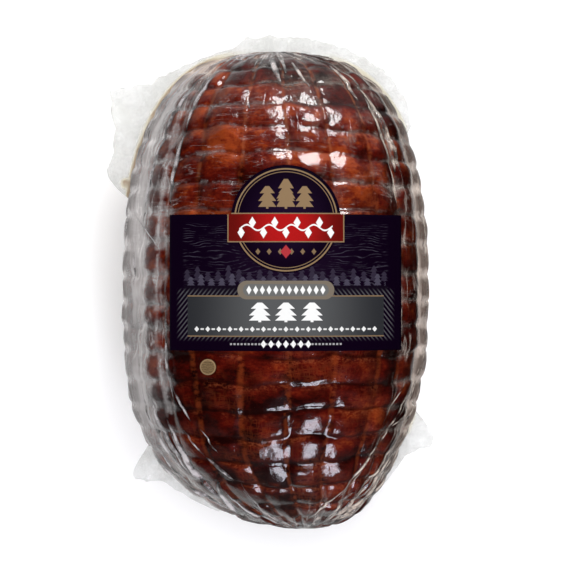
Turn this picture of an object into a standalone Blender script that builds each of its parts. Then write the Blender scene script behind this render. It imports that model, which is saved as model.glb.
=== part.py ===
"""A whole boneless black forest ham, smoked in a net and vacuum-packed in clear film.

The pack lies on its back with the label side up. The origin is on the resting face, under the widest ring.
+Y runs along the ham to its blunt end, +X across it and +Z up. All sizes are in metres.
"""

import math

import bmesh
import bpy
import numpy as np
from mathutils import Vector

MM = 0.001

# The ham: two half superellipses that meet at the widest ring, y = 0
BLUNT_LENGTH = 140.5 * MM
TAPER_LENGTH = 129.5 * MM
BLUNT_POWER = 2.7
TAPER_POWER = 2.25
HALF_WIDTH = 86.5 * MM
UPPER_DEPTH = 66.0 * MM
LOWER_DEPTH = 62.0 * MM
SECTION_POWER = 2.25
FLAT_CUT = 2.6 * MM  # how much of the back its own weight flattens
WIDEST_Z = LOWER_DEPTH - FLAT_CUT
TIP_LEAN = 15.0 * MM  # the tapered tip leans to +X
LEAN_START = 0.60  # share of the taper where that lean begins

# The marks of the net: rows of pillows between ring cords and lengthwise cords
ROWS = 23
COLUMNS = 18
PILLOW_PLACES = (0.0, 0.24, 0.76)  # the bottom of a groove and both shoulders of the pillow after it
RING_GROOVE = 2.0 * MM
LENGTH_GROOVE = 1.3 * MM
COLUMN_PHASE = 0.29  # where the first lengthwise cord lies, in columns from the +X side
RING_BOW = 0.075  # how far a ring cord lags at the sides, as a share of its distance from the middle
RING_SHIFT = 5.0 * MM  # how far the ring cords are drawn towards the blunt end, halfway along it
RING_WOBBLE = 0.8 * MM  # how unevenly the ring cords run
ROW_SWELL = 0.7 * MM  # how unevenly the pillows swell
SMOOTH_BACK = (-0.86, -0.62)  # the net marks fade out between these heights, as shares of LOWER_DEPTH

# The loose film round the ham, where the two sides of the bag meet
RIM = 1.0 * MM
FILM_THICKNESS = 1.0 * MM
CLEARANCE = 0.45 * MM
RUFFLE = 2.2 * MM
FLANGE_STEPS = 108
FLANGE_BANDS = 2
# Each ear of loose film: direction in degrees, reach, and how many degrees it takes to fade out on either side
EARS = (
    (129.0, 26.0 * MM, 24.0, 20.0),
    (142.0, 14.0 * MM, 9.0, 6.0),
    (95.0, 9.0 * MM, 26.0, 9.0),
    (75.0, 9.5 * MM, 16.0, 16.0),
    (63.0, 12.0 * MM, 17.0, 16.0),
    (-43.0, 18.0 * MM, 8.0, 4.5),
    (-53.0, 8.0 * MM, 10.0, 9.0),
    (231.0, 19.0 * MM, 4.0, 8.0),
    (238.0, 11.0 * MM, 10.0, 18.0),
)

# The label, as seen from straight above
LABEL_CENTRE = (5.8 * MM, 9.9 * MM)
LABEL_SIZE = (126.0 * MM, 73.4 * MM)
LABEL_CORNER = 1.2 * MM
CREST_CENTRE = (5.8 * MM, 43.6 * MM)
CREST_RADIUS = 29.5 * MM
LABEL_THICKNESS = 0.4 * MM
LABEL_CELLS = (17, 13)

# The small round sticker below the label's left corner
STICKER_CENTRE = (-36.2 * MM, -35.6 * MM)
STICKER_RADIUS = 4.5 * MM
STICKER_STEPS = 28


def clear_scene():
    for thing in list(bpy.data.objects):
        bpy.data.objects.remove(thing, do_unlink=True)


def finish(name, colour, roughness):
    """A plain surface for one sub-part."""
    material = bpy.data.materials.new(name)
    material.use_nodes = True
    shader = material.node_tree.nodes["Principled BSDF"]
    shader.inputs["Base Color"].default_value = (*colour, 1.0)
    shader.inputs["Roughness"].default_value = roughness
    shader.inputs["Metallic"].default_value = 0.0
    return material


def smoothstep(low, high, value):
    share = np.clip((value - low) / (high - low), 0.0, 1.0)
    return share * share * (3.0 - 2.0 * share)


def along(line, shares):
    """The points at these shares of a dense line's length."""
    steps = np.linalg.norm(np.diff(line, axis=0), axis=1)
    length = np.concatenate([[0.0], np.cumsum(steps)]) / steps.sum()
    return np.column_stack([np.interp(shares, length, line[:, i]) for i in range(line.shape[1])])


def taper_of(y):
    """Share of the widest cross-section that is left at y, from 1 at the widest ring to 0 at each end."""
    blunt = np.clip(y / BLUNT_LENGTH, 0.0, 1.0) ** BLUNT_POWER
    thin = np.clip(-y / TAPER_LENGTH, 0.0, 1.0) ** TAPER_POWER
    return np.where(y >= 0, (1.0 - blunt) ** (1.0 / BLUNT_POWER), (1.0 - thin) ** (1.0 / TAPER_POWER))


def lean_of(y):
    share = np.clip((-y / TAPER_LENGTH - LEAN_START) / (1.0 - LEAN_START), 0.0, 1.0)
    return TIP_LEAN * share**2


def section(count_shares):
    """Unit cross-section (x, z), z from -1 to 1, at these shares of the way round from +X over the top."""
    angle = np.linspace(0.0, 2.0 * math.pi, 2881)
    power = 2.0 / SECTION_POWER
    x = np.sign(np.cos(angle)) * np.abs(np.cos(angle)) ** power
    z = np.sign(np.sin(angle)) * np.abs(np.sin(angle)) ** power
    depth = np.where(z >= 0, UPPER_DEPTH, LOWER_DEPTH)
    found = along(np.column_stack([x * HALF_WIDTH, z * depth]), np.mod(count_shares, 1.0))
    return found[:, 0] / HALF_WIDTH, found[:, 1] / np.where(found[:, 1] >= 0, UPPER_DEPTH, LOWER_DEPTH)


def ring_places(count_shares):
    """y of a ring at these shares of the way along the surface, from the tapered tip to the blunt end."""
    angle = np.linspace(-math.pi / 2.0, math.pi / 2.0, 2001)
    blunt = BLUNT_LENGTH * np.clip(np.sin(angle), 0.0, 1.0) ** (2.0 / BLUNT_POWER)
    thin = TAPER_LENGTH * np.clip(-np.sin(angle), 0.0, 1.0) ** (2.0 / TAPER_POWER)
    y = np.where(angle >= 0, blunt, -thin)
    mean_radius = (HALF_WIDTH + UPPER_DEPTH) / 2.0
    found = along(np.column_stack([y, taper_of(y) * mean_radius]), count_shares)[:, 0]
    return found + RING_SHIFT * np.sin(math.pi * np.clip(found / BLUNT_LENGTH, 0.0, 1.0))


def groove(place):
    """How far into a groove a place lies: 1 at the cord, 0 on the pillow, for places counted in pillows."""
    away = np.abs(place - np.round(place))
    return 1.0 - smoothstep(0.0, PILLOW_PLACES[1], away)


def skin(x_unit, z_unit, y_ring):
    """The smooth skin over the pillows' crests."""
    sides = 1.0 - z_unit**2
    reach = np.where(y_ring >= 0, BLUNT_LENGTH, TAPER_LENGTH)
    lag = 1.0 - np.clip(np.abs(y_ring) / reach, 0.0, 1.0) ** 3
    y = y_ring * (1.0 - RING_BOW * sides * lag)
    y = y + RING_WOBBLE * np.sin(3.1 * x_unit + 90.0 * y) * lag * taper_of(y)
    taper = taper_of(y)
    x = HALF_WIDTH * taper * x_unit
    depth = np.where(z_unit >= 0, UPPER_DEPTH, LOWER_DEPTH)
    return np.stack([x + lean_of(y), y, WIDEST_Z + depth * taper * z_unit], axis=-1)


def netted_skin():
    """Points of the ham's surface, ring by ring, with the pillows and grooves that the net left."""
    row_place = np.array([row + part for row in range(ROWS) for part in PILLOW_PLACES][1:])
    column_place = np.array([column + part for column in range(COLUMNS) for part in PILLOW_PLACES])
    x_unit, z_unit = section((column_place + COLUMN_PHASE) / COLUMNS)
    y_ring = ring_places(row_place / ROWS)
    crest = skin(x_unit[None, :], z_unit[None, :], y_ring[:, None])
    outward = outward_of(crest)
    ring_cut = RING_GROOVE * groove(row_place)[:, None]
    length_cut = LENGTH_GROOVE * groove(column_place)[None, :]
    swell = ROW_SWELL * np.sin(2.3 * row_place)[:, None] * np.cos(1.7 * column_place)[None, :]
    cut = np.maximum(ring_cut, length_cut) + 0.35 * np.minimum(ring_cut, length_cut)
    cut = cut + np.where(cut < 0.1 * MM, np.abs(swell), 0.0)
    marked = smoothstep(*SMOOTH_BACK, z_unit)[None, :]
    near_ends = np.minimum(row_place, ROWS - row_place)[:, None]
    fade = marked * smoothstep(0.0, 1.6, near_ends)
    return crest - outward * (cut * fade)[..., None]


def outward_of(grid):
    """Unit normals of a closed ring-by-ring grid, pointing away from the ham."""
    around = np.roll(grid, -1, axis=1) - np.roll(grid, 1, axis=1)
    lengthwise = np.gradient(grid, axis=0)
    normal = np.cross(lengthwise, around)
    normal /= np.linalg.norm(normal, axis=-1, keepdims=True)
    middle = np.array([0.0, 0.0, WIDEST_Z])
    inward = np.sum(normal * (grid - middle), axis=-1, keepdims=True) < 0
    return np.where(inward, -normal, normal)


def new_object(name, mesh_data, material):
    mesh = bpy.data.meshes.new(name)
    bmesh.ops.recalc_face_normals(mesh_data, faces=mesh_data.faces)
    mesh_data.to_mesh(mesh)
    mesh_data.free()
    mesh.materials.append(material)
    mesh.shade_smooth()
    mesh.set_sharp_from_angle(angle=math.radians(50.0))
    made = bpy.data.objects.new(name, mesh)
    bpy.context.scene.collection.objects.link(made)
    return made


def add_ham():
    grid = netted_skin()
    ham = bmesh.new()
    rings = [[ham.verts.new(point) for point in ring] for ring in grid]
    for near, far in zip(rings, rings[1:]):
        for i in range(len(near)):
            j = (i + 1) % len(near)
            ham.faces.new((near[i], near[j], far[j], far[i]))
    tip_y, blunt_y = -TAPER_LENGTH, BLUNT_LENGTH
    for ring, end_y in ((rings[0], tip_y), (rings[-1], blunt_y)):
        pole = ham.verts.new((float(lean_of(np.array(end_y))), end_y, WIDEST_Z))
        for i in range(len(ring)):
            ham.faces.new((ring[i], ring[(i + 1) % len(ring)], pole))
    cut_flat(ham)
    return new_object("ham", ham, finish("smoked_ham", (0.13, 0.025, 0.012), 0.35))


def cut_flat(ham):
    """Cuts the back off level, so that the ham lies on one flat face."""
    everything = ham.verts[:] + ham.edges[:] + ham.faces[:]
    bmesh.ops.bisect_plane(
        ham, geom=everything, dist=1e-6, plane_co=(0, 0, 0), plane_no=(0, 0, -1), clear_outer=True
    )
    rim = [edge for edge in ham.edges if edge.is_boundary]
    bmesh.ops.contextual_create(ham, geom=rim)


def flange_reach(angle):
    """How far the loose film stands out from the ham in one direction, in radians."""
    reach = RIM
    for direction, length, before, after in EARS:
        turn = (math.degrees(angle) - direction + 180.0) % 360.0 - 180.0
        spread = after if turn > 0 else before
        reach = max(reach, RIM + (length - RIM) * max(0.0, 1.0 - abs(turn) / spread) ** 1.15)
    return reach


def flange_line():
    """Points and outward directions round the ham's outline at its widest height."""
    angle = np.linspace(0.0, 2.0 * math.pi, 2881)[:-1]
    blunt = angle < math.pi
    power = np.where(blunt, 2.0 / BLUNT_POWER, 2.0 / TAPER_POWER)
    length = np.where(blunt, BLUNT_LENGTH, TAPER_LENGTH)
    y = length * np.sign(np.sin(angle)) * np.abs(np.sin(angle)) ** power
    x = np.sign(np.cos(angle)) * HALF_WIDTH * taper_of(y) + lean_of(y)
    line = np.column_stack([x, y])
    line = along(np.vstack([line, line[:1]]), np.arange(FLANGE_STEPS) / FLANGE_STEPS)
    ahead = np.roll(line, -1, axis=0) - np.roll(line, 1, axis=0)
    outward = np.column_stack([ahead[:, 1], -ahead[:, 0]])
    return line, outward / np.linalg.norm(outward, axis=1, keepdims=True)


def add_film_flange():
    """The bag's two sides meet in this ragged sheet of film, which is one ring round the ham."""
    line, outward = flange_line()
    film = bmesh.new()
    bands = []
    for i, (point, direction) in enumerate(zip(line, outward)):
        reach = flange_reach(math.atan2(point[1], point[0]))
        strip = []
        for band in range(FLANGE_BANDS + 1):
            share = band / FLANGE_BANDS
            place = point + direction * (CLEARANCE + reach * share)
            wave = math.sin(i * 1.15) + 0.6 * math.sin(i * 2.05 + 1.0)
            lift = RUFFLE * share * wave * min(1.0, reach / (8.0 * MM))
            height = WIDEST_Z + lift
            strip.append(
                [film.verts.new((*place, height + side * FILM_THICKNESS / 2.0)) for side in (1, -1)]
            )
        bands.append(strip)
    for i in range(len(bands)):
        here, there = bands[i], bands[(i + 1) % len(bands)]
        for band in range(FLANGE_BANDS):
            for side in (0, 1):
                corners = (here[band], here[band + 1], there[band + 1], there[band])
                film.faces.new([corner[side] for corner in corners])
        for band in (0, FLANGE_BANDS):
            film.faces.new((here[band][0], here[band][1], there[band][1], there[band][0]))
    return new_object("film_flange", film, finish("clear_film", (0.85, 0.85, 0.83), 0.15))


def crest_height(x, y):
    """Height of the smooth skin over the pillows above a place seen from the top."""
    taper = float(taper_of(np.array(y)))
    share = min(abs(x - float(lean_of(np.array(y)))) / (HALF_WIDTH * taper), 1.0)
    return WIDEST_Z + UPPER_DEPTH * taper * (1.0 - share**SECTION_POWER) ** (1.0 / SECTION_POWER)


def add_slab_on_ham(name, centre, size, cells):
    """A curved slab that follows the ham's top over a rectangle, one label thickness deep."""
    slab = bmesh.new()
    layers = []
    for lift in (CLEARANCE, CLEARANCE + LABEL_THICKNESS):
        layer = []
        for i in range(cells[0] + 1):
            x = centre[0] + size[0] * (i / cells[0] - 0.5)
            column = []
            for j in range(cells[1] + 1):
                y = centre[1] + size[1] * (j / cells[1] - 0.5)
                column.append(slab.verts.new(raised(x, y, lift)))
            layer.append(column)
        layers.append(layer)
    for layer in layers:
        for i in range(cells[0]):
            for j in range(cells[1]):
                slab.faces.new((layer[i][j], layer[i + 1][j], layer[i + 1][j + 1], layer[i][j + 1]))
    low, high = layers
    for i in range(cells[0]):
        for j in (0, cells[1]):
            slab.faces.new((low[i][j], low[i + 1][j], high[i + 1][j], high[i][j]))
    for j in range(cells[1]):
        for i in (0, cells[0]):
            slab.faces.new((low[i][j], low[i][j + 1], high[i][j + 1], high[i][j]))
    return new_object(name, slab, finish("printed_label", (0.012, 0.004, 0.022), 0.4))


def raised(x, y, lift):
    """A point that stands off the ham's skin by lift, above a place seen from the top."""
    step = 0.5 * MM
    slope_x = (crest_height(x + step, y) - crest_height(x - step, y)) / (2.0 * step)
    slope_y = (crest_height(x, y + step) - crest_height(x, y - step)) / (2.0 * step)
    normal = Vector((-slope_x, -slope_y, 1.0)).normalized()
    return Vector((x, y, crest_height(x, y))) + normal * lift


def label_outline():
    """The label's cut edge: a rectangle with a round crest that rises out of its top edge."""
    half_x, half_y = LABEL_SIZE[0] / 2.0, LABEL_SIZE[1] / 2.0
    corners = ((1, -1, -90.0), (1, 1, 0.0), (-1, 1, 90.0), (-1, -1, 180.0))
    outline = []
    for side_x, side_y, start in corners:
        if side_x < 0 and side_y > 0:
            outline += crest_arc(LABEL_CENTRE[1] + half_y)
        for step in range(4):
            turn = math.radians(start + 30.0 * step)
            x = LABEL_CENTRE[0] + side_x * (half_x - LABEL_CORNER) + LABEL_CORNER * math.cos(turn)
            y = LABEL_CENTRE[1] + side_y * (half_y - LABEL_CORNER) + LABEL_CORNER * math.sin(turn)
            outline.append((x, y))
    return outline


def crest_arc(edge_y):
    """The part of the crest's circle above the label's top edge, from +X to -X."""
    start = math.asin((edge_y - CREST_CENTRE[1]) / CREST_RADIUS)
    steps = 20
    turns = [start + (math.pi - 2.0 * start) * step / steps for step in range(steps + 1)]
    return [
        (CREST_CENTRE[0] + CREST_RADIUS * math.cos(turn), CREST_CENTRE[1] + CREST_RADIUS * math.sin(turn))
        for turn in turns
    ]


def sticker_outline():
    turns = [2.0 * math.pi * step / STICKER_STEPS for step in range(STICKER_STEPS)]
    return [
        (STICKER_CENTRE[0] + STICKER_RADIUS * math.cos(turn), STICKER_CENTRE[1] + STICKER_RADIUS * math.sin(turn))
        for turn in turns
    ]


def trim(slab, outline):
    """Cuts a curved slab to an outline seen from the top."""
    cutter_mesh = bmesh.new()
    base = cutter_mesh.faces.new([cutter_mesh.verts.new((x, y, 0.0)) for x, y in outline])
    raised_part = bmesh.ops.extrude_face_region(cutter_mesh, geom=[base])
    top = [item for item in raised_part["geom"] if isinstance(item, bmesh.types.BMVert)]
    bmesh.ops.translate(cutter_mesh, verts=top, vec=(0.0, 0.0, 2.0 * (WIDEST_Z + UPPER_DEPTH)))
    cutter = new_object(slab.name + "_cutter", cutter_mesh, slab.data.materials[0])
    cutter.hide_render = True
    cutter.display_type = "WIRE"
    cut = slab.modifiers.new("outline", "BOOLEAN")
    cut.operation = "INTERSECT"
    cut.object = cutter
    cut.solver = "EXACT"


def add_label():
    margin = 3.0 * MM
    low_y = LABEL_CENTRE[1] - LABEL_SIZE[1] / 2.0
    high_y = CREST_CENTRE[1] + CREST_RADIUS
    centre = (LABEL_CENTRE[0], (low_y + high_y) / 2.0)
    size = (LABEL_SIZE[0] + 2.0 * margin, high_y - low_y + 2.0 * margin)
    slab = add_slab_on_ham("label", centre, size, LABEL_CELLS)
    trim(slab, label_outline())


def add_sticker():
    size = 2.4 * STICKER_RADIUS
    slab = add_slab_on_ham("round_sticker", STICKER_CENTRE, (size, size), (3, 3))
    slab.data.materials[0] = finish("tan_paper", (0.52, 0.42, 0.27), 0.6)
    trim(slab, sticker_outline())


clear_scene()
add_ham()
add_film_flange()
add_label()
add_sticker()
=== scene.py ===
"""The looks of a whole black forest ham: netted, smoked dark, and vacuum-packed in clear film with a label.

Everything is in metres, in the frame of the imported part: +Y runs along the ham to its blunt end and +Z is up.
"""

import math

import bpy
import numpy as np
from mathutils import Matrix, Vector, noise


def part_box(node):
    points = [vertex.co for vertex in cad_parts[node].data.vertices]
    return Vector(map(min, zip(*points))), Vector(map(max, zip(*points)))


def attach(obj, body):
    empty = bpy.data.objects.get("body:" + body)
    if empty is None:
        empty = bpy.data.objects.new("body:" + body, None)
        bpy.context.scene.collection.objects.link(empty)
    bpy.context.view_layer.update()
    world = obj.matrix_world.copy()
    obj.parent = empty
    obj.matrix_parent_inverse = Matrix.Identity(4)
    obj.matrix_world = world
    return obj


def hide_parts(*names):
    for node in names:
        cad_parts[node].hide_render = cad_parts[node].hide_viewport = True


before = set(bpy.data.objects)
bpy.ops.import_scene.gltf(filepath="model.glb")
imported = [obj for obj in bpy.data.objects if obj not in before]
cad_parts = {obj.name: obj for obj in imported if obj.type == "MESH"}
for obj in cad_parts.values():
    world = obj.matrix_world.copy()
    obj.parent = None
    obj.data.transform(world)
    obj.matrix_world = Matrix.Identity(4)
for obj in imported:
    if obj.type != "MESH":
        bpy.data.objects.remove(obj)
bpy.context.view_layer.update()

MM = 0.001

# The ham's form, as in the CAD solid
ham_low, ham_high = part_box("ham")
BLUNT_LENGTH = ham_high.y
TAPER_LENGTH = -ham_low.y
BLUNT_POWER = 2.7
TAPER_POWER = 2.25
HALF_WIDTH = 86.5 * MM
UPPER_DEPTH = 66.0 * MM
LOWER_DEPTH = 62.0 * MM
SECTION_POWER = 2.25
WIDEST_Z = 59.4 * MM
TIP_LEAN = 15.0 * MM
LEAN_START = 0.60

# The net's marks: ROWS pillows from the tapered tip to the blunt end, COLUMNS of them round the ham
ROWS = 23
COLUMNS = 18
COLUMN_PHASE = 0.29
RING_BOW = 0.075
RING_SHIFT = 5.0 * MM
RING_WOBBLE = 0.8 * MM


# Form -----------------------------------------------------


def smoothstep(low, high, value):
    share = np.clip((value - low) / (high - low), 0.0, 1.0)
    return share * share * (3.0 - 2.0 * share)


def plateau(value, start, full, fade, end):
    """0 before start, 1 from full to fade, and 0 past end."""
    return smoothstep(start, full, value) * (1.0 - smoothstep(fade, end, value))


def along(line, shares):
    """The points at these shares of a dense line's length."""
    steps = np.linalg.norm(np.diff(line, axis=0), axis=1)
    length = np.concatenate([[0.0], np.cumsum(steps)]) / steps.sum()
    return np.column_stack([np.interp(shares, length, line[:, i]) for i in range(line.shape[1])])


def taper_of(y):
    """Share of the widest cross-section that is left at y."""
    blunt = np.clip(y / BLUNT_LENGTH, 0.0, 1.0) ** BLUNT_POWER
    thin = np.clip(-y / TAPER_LENGTH, 0.0, 1.0) ** TAPER_POWER
    return np.where(y >= 0, (1.0 - blunt) ** (1.0 / BLUNT_POWER), (1.0 - thin) ** (1.0 / TAPER_POWER))


def lean_of(y):
    share = np.clip((-y / TAPER_LENGTH - LEAN_START) / (1.0 - LEAN_START), 0.0, 1.0)
    return TIP_LEAN * share**2


def section(column):
    """Unit cross-section (x, z) at these column places, counted from the +X side over the top."""
    angle = np.linspace(0.0, 2.0 * math.pi, 2881)
    power = 2.0 / SECTION_POWER
    x = np.sign(np.cos(angle)) * np.abs(np.cos(angle)) ** power
    z = np.sign(np.sin(angle)) * np.abs(np.sin(angle)) ** power
    depth = np.where(z >= 0, UPPER_DEPTH, LOWER_DEPTH)
    shares = np.mod((column + COLUMN_PHASE) / COLUMNS, 1.0)
    found = along(np.column_stack([x * HALF_WIDTH, z * depth]), shares)
    return found[:, 0] / HALF_WIDTH, found[:, 1] / np.where(found[:, 1] >= 0, UPPER_DEPTH, LOWER_DEPTH)


def ring_place(row):
    """y of the ring at these row places, counted from the tapered tip."""
    angle = np.linspace(-math.pi / 2.0, math.pi / 2.0, 2001)
    blunt = BLUNT_LENGTH * np.clip(np.sin(angle), 0.0, 1.0) ** (2.0 / BLUNT_POWER)
    thin = TAPER_LENGTH * np.clip(-np.sin(angle), 0.0, 1.0) ** (2.0 / TAPER_POWER)
    y = np.where(angle >= 0, blunt, -thin)
    mean_radius = (HALF_WIDTH + UPPER_DEPTH) / 2.0
    found = along(np.column_stack([y, taper_of(y) * mean_radius]), row / ROWS)[:, 0]
    return found + RING_SHIFT * np.sin(math.pi * np.clip(found / BLUNT_LENGTH, 0.0, 1.0))


def crest(column, row):
    """Points of the smooth skin over the pillows' crests."""
    x_unit, z_unit = section(column)
    y_ring = ring_place(row)
    reach = np.where(y_ring >= 0, BLUNT_LENGTH, TAPER_LENGTH)
    lag = 1.0 - np.clip(np.abs(y_ring) / reach, 0.0, 1.0) ** 3
    y = y_ring * (1.0 - RING_BOW * (1.0 - z_unit**2) * lag)
    y = y + RING_WOBBLE * np.sin(3.1 * x_unit + 90.0 * y) * lag * taper_of(y)
    taper = taper_of(y)
    depth = np.where(z_unit >= 0, UPPER_DEPTH, LOWER_DEPTH)
    return np.column_stack([HALF_WIDTH * taper * x_unit + lean_of(y), y, WIDEST_Z + depth * taper * z_unit])


def outward(column, row):
    """Unit normals of the smooth skin."""
    step = 0.02
    row = np.clip(row, 0.05, ROWS - 0.05)
    round_it = crest(column + step, row) - crest(column - step, row)
    along_it = crest(column, row + step) - crest(column, row - step)
    normal = np.cross(round_it, along_it)
    normal /= np.maximum(np.linalg.norm(normal, axis=1, keepdims=True), 1e-12)
    inward = np.sum(normal * (crest(column, row) - [0.0, 0.0, WIDEST_Z]), axis=1, keepdims=True) < 0
    return np.where(inward, -normal, normal)


def drift(points, size, seed):
    """Smooth noise from -1 to 1 at these points, with lumps of this size."""
    shift = Vector((seed * 7.3, seed * 3.1, seed * 5.7))
    return np.array([noise.noise(Vector(point) / size + shift) for point in points])


def pad_number(column, row, seed):
    """One number from 0 to 1 for each pad between the net's cords."""
    pad = np.floor(np.mod(column, COLUMNS)) * 12.9898 + np.floor(row) * 78.233 + seed * 37.719
    return np.mod(np.abs(np.sin(pad)) * 43758.5453, 1.0)


def near_cord(place, half_width):
    """1 at each cord, falling to 0 half_width to either side of it."""
    away = np.abs(place - np.round(place))
    return 1.0 - smoothstep(0.0, half_width, away)


def from_middle(place):
    """0 in the middle of a pad and 1 at the cords on both sides."""
    return np.abs(2.0 * np.mod(place, 1.0) - 1.0)


def skin_height(x, y):
    """Height of the smooth skin's upper side over a place seen from above."""
    taper = taper_of(y)
    aside = np.clip(np.abs(x - lean_of(y)) / (HALF_WIDTH * taper), 0.0, 1.0)
    return WIDEST_Z + UPPER_DEPTH * taper * (1.0 - aside**SECTION_POWER) ** (1.0 / SECTION_POWER)


# Making pieces --------------------------------------------


def start():
    if bpy.context.object and bpy.context.object.mode != "OBJECT":
        bpy.ops.object.mode_set(mode="OBJECT")
    bpy.ops.object.select_all(action="DESELECT")


def finish_piece(piece, name, slot, finish, *nodes):
    """Names a piece, gives it its finish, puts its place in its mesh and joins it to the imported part."""
    start()
    piece.select_set(True)
    bpy.context.view_layer.objects.active = piece
    bpy.ops.object.transform_apply(location=True, rotation=True, scale=True)
    piece.name = name
    piece.data.name = name
    piece.data.materials.clear()
    piece.data.materials.append(finish)
    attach(piece, "root")
    if nodes:
        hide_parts(*nodes)


def mesh_points(mesh):
    points = np.empty(len(mesh.vertices) * 3)
    mesh.vertices.foreach_get("co", points)
    return points.reshape(-1, 3)


def set_tint(mesh, name, values):
    """Stores one number for each point, for a finish to read."""
    mesh.attributes.new(name, "FLOAT", "POINT").data.foreach_set("value", np.ascontiguousarray(values, "f"))


def face_outwards(close_doubles=False):
    bpy.ops.object.mode_set(mode="EDIT")
    bpy.ops.mesh.select_all(action="SELECT")
    if close_doubles:
        bpy.ops.mesh.remove_doubles(threshold=0.001 * MM)
    bpy.ops.mesh.normals_make_consistent(inside=False)
    bpy.ops.object.mode_set(mode="OBJECT")
    bpy.ops.object.shade_smooth()


def thicken(piece, thickness):
    """Gives a sheet its thickness, below the face that was modelled."""
    bpy.ops.object.modifier_add(type="SOLIDIFY")
    wall = piece.modifiers[-1]
    wall.thickness = thickness
    wall.offset = -1.0
    bpy.ops.object.modifier_apply(modifier=wall.name)


def ball(segments, rings, shape):
    """A ball whose points shape() moves onto the ham; its UV map counts the net's columns and rows."""
    start()
    bpy.ops.mesh.primitive_uv_sphere_add(segments=segments, ring_count=rings, radius=1.0)
    piece = bpy.context.object
    mesh = piece.data
    uv = np.empty(len(mesh.loops) * 2)
    mesh.uv_layers.active.data.foreach_get("uv", uv)
    uv = uv.reshape(-1, 2) * (COLUMNS, ROWS)
    corner = np.empty(len(mesh.loops), int)
    mesh.loops.foreach_get("vertex_index", corner)
    place = np.empty((len(mesh.vertices), 2))
    place[corner] = uv
    column, row = place.T
    mesh.vertices.foreach_set("co", shape(column, row).ravel())
    wander = cord_wander(crest(column, row))
    mesh.uv_layers.active.data.foreach_set("uv", (uv + wander[corner]).ravel())
    set_tint(mesh, "slack", slack(column, row))
    mesh.update()
    face_outwards()
    return piece


def sheet(columns, rows, shape):
    """A sheet whose points shape() moves into place, from two shares of its length and width."""
    start()
    bpy.ops.mesh.primitive_grid_add(x_subdivisions=columns, y_subdivisions=rows, size=2.0)
    piece = bpy.context.object
    flat = (mesh_points(piece.data)[:, :2] + 1.0) / 2.0
    piece.data.vertices.foreach_set("co", shape(flat[:, 0], flat[:, 1]).ravel())
    piece.data.update()
    return piece


# The ham and its film -------------------------------------

ROLL_DEPTH = 0.8 * MM  # a row of pads is rounded like a roll
DOME_DEPTH = 1.35 * MM  # each pad is domed between its two lengthwise cords
RING_DIP = 0.25 * MM  # the narrow dip of the film at a ring cord's mark
CORD_RIDGE = 0.3 * MM  # the thin line that stands up between the two threads of a lengthwise cord
PAD_SWELL = 0.7 * MM
PAD_TILT = (0.07, 0.09)  # across and along the ham
CRUMPLES = ((9.0 * MM, 0.24 * MM), (4.0 * MM, 0.10 * MM))
CREASE_SIZE = 8.0 * MM  # the film between the cords is creased into flat facets
CREASE_HEIGHT = 0.55 * MM
PLEAT_DEPTH = 1.0 * MM  # the film gathers in pleats towards both ends
PLEAT_ROWS = 4.0
MEAT_RING_CUT = 0.45 * MM  # how much deeper the meat is cut than the film
MEAT_CORD_CUT = 0.5 * MM
FILM_GAP = 0.3 * MM
COLUMN_PITCH = 26.8 * MM
ROW_PITCH = 15.4 * MM
SIDE_SWELL = 1.4 * MM  # along both sides the slack film stands out past the skin
LOW_SWELL = 1.9 * MM  # and more so low on the -X side, about LOW_SWELL_Y
LOW_SWELL_Y = -58.0 * MM
LOW_SWELL_LENGTH = 30.0 * MM
# Where the film is stretched flatter, by its columns and rows, each as a plateau, and by how much
FLAT_ZONES = (
    ((3.8, 4.8, 6.6, 7.4), (-2.0, -1.0, 9.0, 11.0), 0.4),
    ((2.2, 3.0, 4.8, 5.6), (6.4, 7.4, 11.0, 12.5), 0.4),
    ((1.2, 2.2, 4.9, 5.6), (15.5, 17.0, 24.0, 25.0), 0.5),
)


def aside_of(points):
    """How far these points are to one side, from -1 to 1."""
    x, y, _ = points.T
    return (x - lean_of(y)) / (HALF_WIDTH * np.maximum(taper_of(y), 0.02))


def cord_wander(points):
    """How far the cords stray from even spacing, in columns and rows; they crowd together at the sides."""
    aside = aside_of(points)
    across = 0.08 * drift(points, 40.0 * MM, 1.0) + 0.03 * drift(points, 12.0 * MM, 9.0)
    lengthwise = 0.16 * drift(points, 34.0 * MM, 2.0) + 0.13 * drift(points, 12.0 * MM, 10.0)
    across += 0.5 * smoothstep(0.55, 0.85, -aside) - 0.7 * smoothstep(0.66, 0.95, aside)
    return np.column_stack([across, lengthwise])


def side_swell(points):
    """How far the slack film stands out along the sides."""
    aside = aside_of(points)
    low = np.exp(-(((points[:, 1] - LOW_SWELL_Y) / LOW_SWELL_LENGTH) ** 2)) * (aside < 0)
    return (SIDE_SWELL + LOW_SWELL * low) * smoothstep(0.78, 0.97, np.abs(aside))


def net_shows(points, row):
    """Where the net's marks show: not at the very ends, nor on the back that the ham lies on."""
    ends = smoothstep(0.0, 1.6, np.minimum(row, ROWS - row))
    return ends * smoothstep(-0.86, -0.62, (points[:, 2] - WIDEST_Z) / LOWER_DEPTH)


def slack(column, row):
    """Where the film is slack and folds on itself: along both sides and at both ends, less so underneath."""
    x_unit, z_unit = section(column)
    right = smoothstep(0.70, 0.88, x_unit) * (1.0 - 0.4 * smoothstep(14.5, 17.0, row))
    narrower = 0.09 * (1.0 - smoothstep(4.0, 8.0, row))
    sides = np.maximum(smoothstep(0.62, 0.80, -x_unit - narrower), right)
    ends = 1.0 - smoothstep(0.7, 3.2, np.minimum(row, ROWS - row))
    ends = np.maximum(ends, 0.15 * (1.0 - smoothstep(2.5, 6.5, ROWS - row)))
    tip = (1.0 - smoothstep(2.2, 4.2, row)) * smoothstep(0.0, 0.5, x_unit)
    return np.maximum(sides * (1.0 - 0.8 * smoothstep(0.1, 0.6, -z_unit)), ends) + 1.2 * tip


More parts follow.
